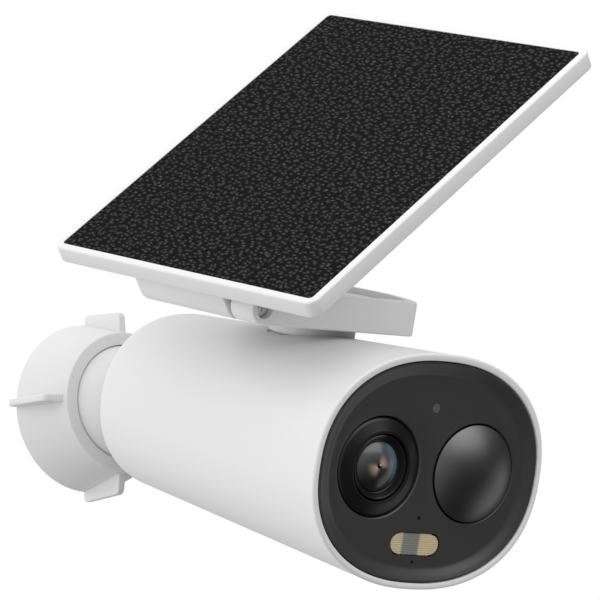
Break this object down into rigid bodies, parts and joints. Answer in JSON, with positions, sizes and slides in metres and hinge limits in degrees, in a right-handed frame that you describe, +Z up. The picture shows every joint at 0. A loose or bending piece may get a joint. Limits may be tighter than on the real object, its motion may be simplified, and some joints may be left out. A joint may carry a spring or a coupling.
{
  "type": "solar-powered security camera",
  "caption": "Wall-mounted battery security camera: tapered oval body on a clamped ball joint, with a tilting solar panel on a turning arm.",
  "frame": {"origin": "centre of the wall base's back face, on the wall", "axes": "+Y into the wall, -Y out towards the camera, +Z up, +X to the right seen from in front"},
  "size_m": [0.1033, 0.1652, 0.1594],
  "materials": {
    "white_shell": "fine satin",
    "slip_plastic": "smooth",
    "black_face": "smooth satin",
    "black_dome": "polished",
    "lens_glass": "coated",
    "warm_window": "ribbed translucent",
    "clear_guide": "clear",
    "black_rubber": "matt",
    "grey_rubber": "matt",
    "button_plastic": "matt",
    "steel": "plain",
    "circuit_board": "solder mask",
    "cell_wrap": "shrink wrap over a cell of about the density of aluminium",
    "aerial_flex": "film",
    "solar_cells": "dark cells",
    "laminate": "embossed film"
  },
  "bodies": {
    "wall_mount": {"wall_base": "white_shell", "slip_seat": "slip_plastic"},
    "collar": {"collar_nut": "white_shell"},
    "ball_insert": {"ball_core": "steel"},
    "stud": {"ball_stud": "white_shell", "stud_nut": "steel"},
    "camera": {"main_shell": "white_shell", "front_gasket": "black_rubber", "front_cover": "black_face", "lens_bezel": "black_face", "lens_barrel": "black_face", "lens_glass": "lens_glass", "lens_holder": "black_face", "sensor_board": "circuit_board", "pir_dome": "black_dome", "pir_sensor": "steel", "led_window": "warm_window", "led_board": "circuit_board", "light_guide": "clear_guide", "microphone": "steel", "front_board": "circuit_board", "inner_chassis": "white_shell", "chassis_screw_1": "steel", "chassis_screw_2": "steel", "chassis_screw_3": "steel", "chassis_screw_4": "steel", "battery_cell_1": "cell_wrap", "battery_cell_2": "cell_wrap", "battery_cradle": "white_shell", "main_board": "circuit_board", "shield_can": "steel", "speaker": "black_face", "aerial": "aerial_flex", "port_tray": "black_face", "usb_port": "steel", "memory_card": "black_face"},
    "button": {"power_button": "button_plastic"},
    "hatch": {"port_cover": "grey_rubber"},
    "arm": {"neck_turret": "white_shell", "neck_seal": "grey_rubber", "neck_retainer": "steel", "turret_screw_1": "steel", "turret_screw_2": "steel", "turret_screw_3": "steel", "panel_arm": "white_shell", "arm_base_cover": "white_shell", "hinge_bolt": "steel", "hinge_nut": "steel", "hinge_washer": "steel"},
    "panel": {"panel_bracket": "white_shell", "bracket_screw_1": "steel", "bracket_screw_2": "steel", "bracket_screw_3": "steel", "bracket_screw_4": "steel", "panel_frame": "white_shell", "panel_back_cover": "white_shell", "cell_sheet": "solar_cells", "solar_laminate": "laminate"}
  },
  "joints": [
    {"name": "collar_turn", "type": "hinge", "parent": "wall_mount", "child": "collar", "pos_m": [0, -0.0198, 0], "axis": [0, -1, 0], "range_deg": [0, 90]},
    {"name": "ball_pan", "type": "hinge", "parent": "wall_mount", "child": "ball_insert", "pos_m": [0, -0.0198, 0], "axis": [0, 0, 1], "range_deg": [-29.3, 26.7]},
    {"name": "ball_tilt", "type": "hinge", "parent": "ball_insert", "child": "stud", "pos_m": [0, -0.0198, 0], "axis": [0.9997, 0.0227, 0], "range_deg": [-43.1, 12.8]},
    {"name": "body_roll", "type": "hinge", "parent": "stud", "child": "camera", "pos_m": [0, -0.0198, 0], "axis": [-0.0219, 0.965, 0.2613], "range_deg": [-20, 20]},
    {"name": "arm_turn", "type": "hinge", "parent": "camera", "child": "arm", "pos_m": [0.00195, -0.10564, 0.01024], "axis": [0.0059, -0.2613, 0.9652], "range_deg": [-68.7, 21.3]},
    {"name": "panel_tilt", "type": "hinge", "parent": "arm", "child": "panel", "pos_m": [-0.03603, -0.11407, 0.01586], "axis": [0.1729, -0.9505, -0.2583], "range_deg": [-29, 49]},
    {"name": "button_press", "type": "slide", "parent": "camera", "child": "button", "axis": [0.0059, -0.2613, 0.9652], "range_m": [0, 0.0006], "stiffness_N_per_m": 600, "springref_m": -0.0005},
    {"name": "hatch_swing", "type": "hinge", "parent": "camera", "child": "hatch", "pos_m": [0.00086, -0.05761, -0.02942], "axis": [0.9997, 0.0227, 0], "range_deg": [0, 95]}
  ]
}
